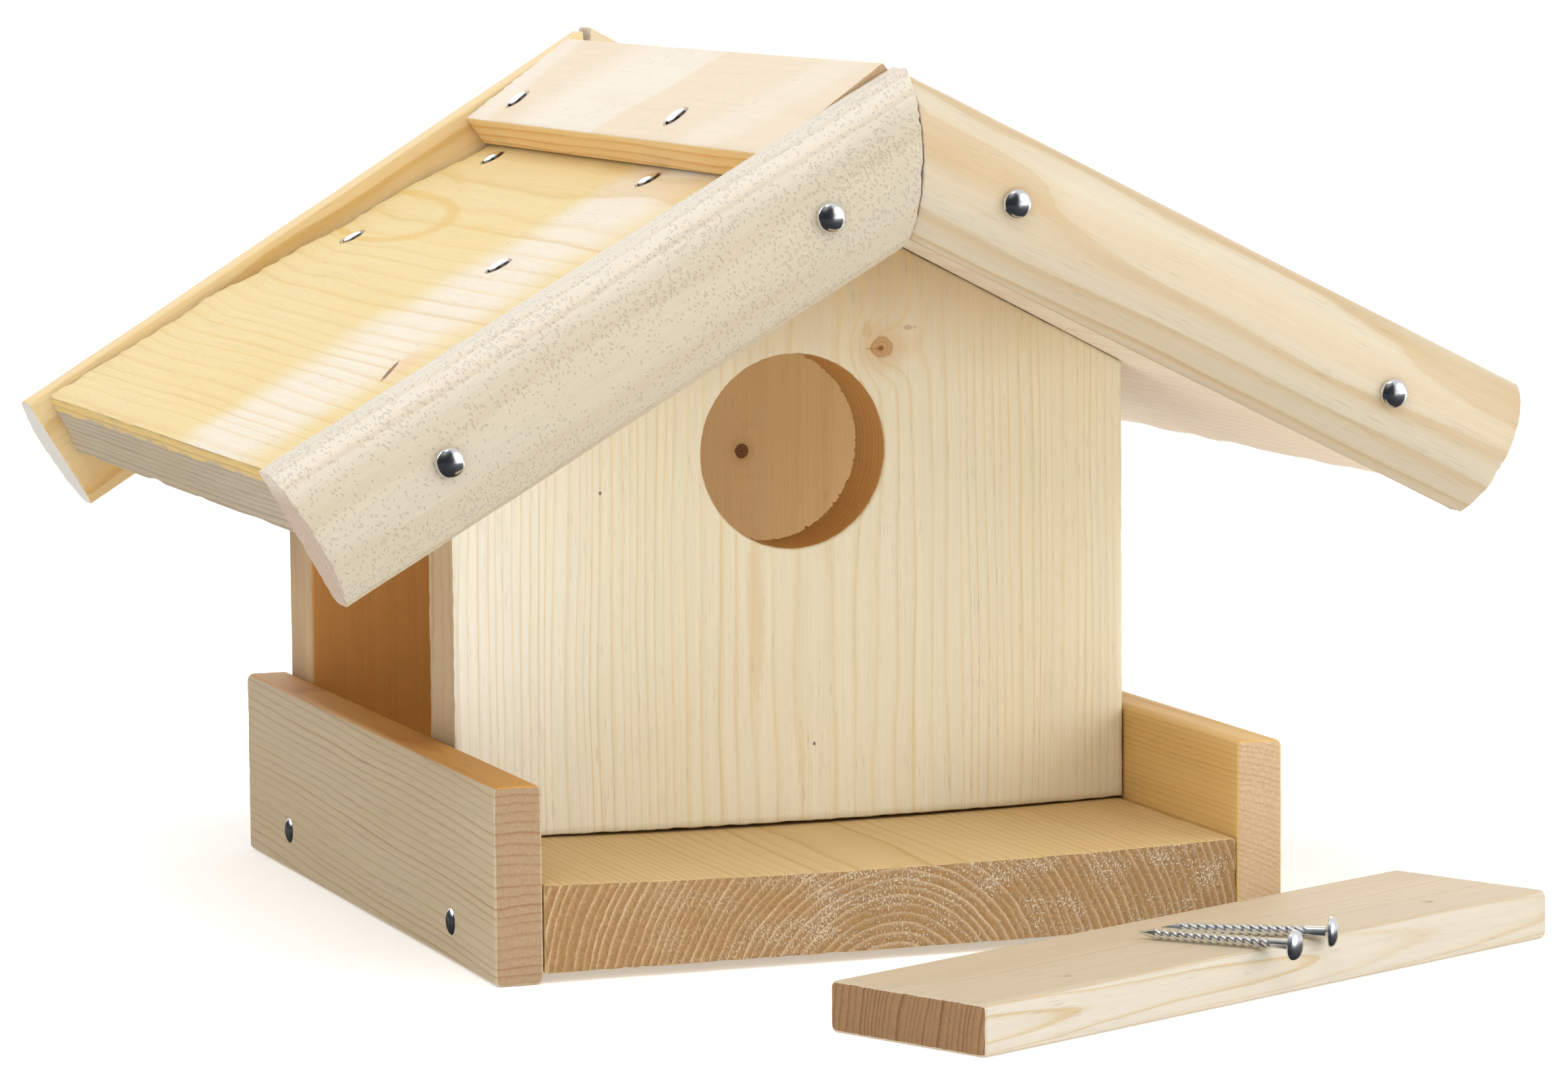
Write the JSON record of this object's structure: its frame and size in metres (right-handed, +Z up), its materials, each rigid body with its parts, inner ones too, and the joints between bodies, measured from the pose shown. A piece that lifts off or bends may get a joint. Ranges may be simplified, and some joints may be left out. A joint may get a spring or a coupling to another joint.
{
  "type": "wooden bird feeding house",
  "caption": "Small gabled bird feeding house of untreated softwood boards with a round hole in its front wall and a loose front rail with its nails.",
  "frame": {"origin": "centre of the floor board's underside", "axes": "+X to the right seen from the front, +Y from the front to the rear, +Z up; the round hole faces -Y"},
  "size_m": [0.2659, 0.3166, 0.1834],
  "materials": {
    "floor_wood": "planed, untreated softwood",
    "rail_wood": "planed, untreated softwood",
    "wall_wood": "planed, untreated softwood",
    "roof_wood": "rough-sawn, untreated softwood",
    "ridge_wood": "planed, untreated softwood",
    "barge_wood": "planed, untreated softwood",
    "nail_zinc": "bright zinc plating"
  },
  "bodies": {
    "house": {"floor_board": "floor_wood", "side_rail_left": "rail_wood", "side_rail_right": "rail_wood", "front_wall": "wall_wood", "rear_wall": "wall_wood", "roof_board_left": "roof_wood", "roof_board_right": "roof_wood", "ridge_strip_left": "ridge_wood", "ridge_strip_right": "ridge_wood", "bargeboard_front_left": "barge_wood", "bargeboard_front_right": "barge_wood", "bargeboard_rear_left": "barge_wood", "bargeboard_rear_right": "barge_wood", "roof_nail_ridge_front_left": "nail_zinc", "roof_nail_upper_front_left": "nail_zinc", "roof_nail_lower_front_left": "nail_zinc", "roof_nail_ridge_rear_left": "nail_zinc", "roof_nail_upper_rear_left": "nail_zinc", "roof_nail_lower_rear_left": "nail_zinc", "roof_nail_ridge_front_right": "nail_zinc", "roof_nail_upper_front_right": "nail_zinc", "roof_nail_lower_front_right": "nail_zinc", "roof_nail_ridge_rear_right": "nail_zinc", "roof_nail_upper_rear_right": "nail_zinc", "roof_nail_lower_rear_right": "nail_zinc", "bargeboard_front_left_nail_upper": "nail_zinc", "bargeboard_front_left_nail_lower": "nail_zinc", "bargeboard_front_right_nail_upper": "nail_zinc", "bargeboard_front_right_nail_lower": "nail_zinc", "bargeboard_rear_left_nail_upper": "nail_zinc", "bargeboard_rear_left_nail_lower": "nail_zinc", "bargeboard_rear_right_nail_upper": "nail_zinc", "bargeboard_rear_right_nail_lower": "nail_zinc", "side_rail_left_nail_front": "nail_zinc", "side_rail_left_nail_rear": "nail_zinc", "side_rail_right_nail_front": "nail_zinc", "side_rail_right_nail_rear": "nail_zinc", "wall_nail_front_left": "nail_zinc", "wall_nail_front_right": "nail_zinc", "wall_nail_rear_left": "nail_zinc", "wall_nail_rear_right": "nail_zinc"},
    "loose_rail": {"front_rail": "rail_wood"},
    "loose_nail_a": {"loose_nail_1": "nail_zinc"},
    "loose_nail_b": {"loose_nail_2": "nail_zinc"}
  },
  "joints": [
    {"name": "front_rail_lift", "type": "slide", "parent": "house", "child": "loose_rail", "axis": [0, 0, 1], "range_m": [0, 0.06]},
    {"name": "loose_nail_1_lift", "type": "slide", "parent": "loose_rail", "child": "loose_nail_a", "axis": [0, 0, 1], "range_m": [0, 0.05]},
    {"name": "loose_nail_2_lift", "type": "slide", "parent": "loose_rail", "child": "loose_nail_b", "axis": [0, 0, 1], "range_m": [0, 0.05]}
  ]
}
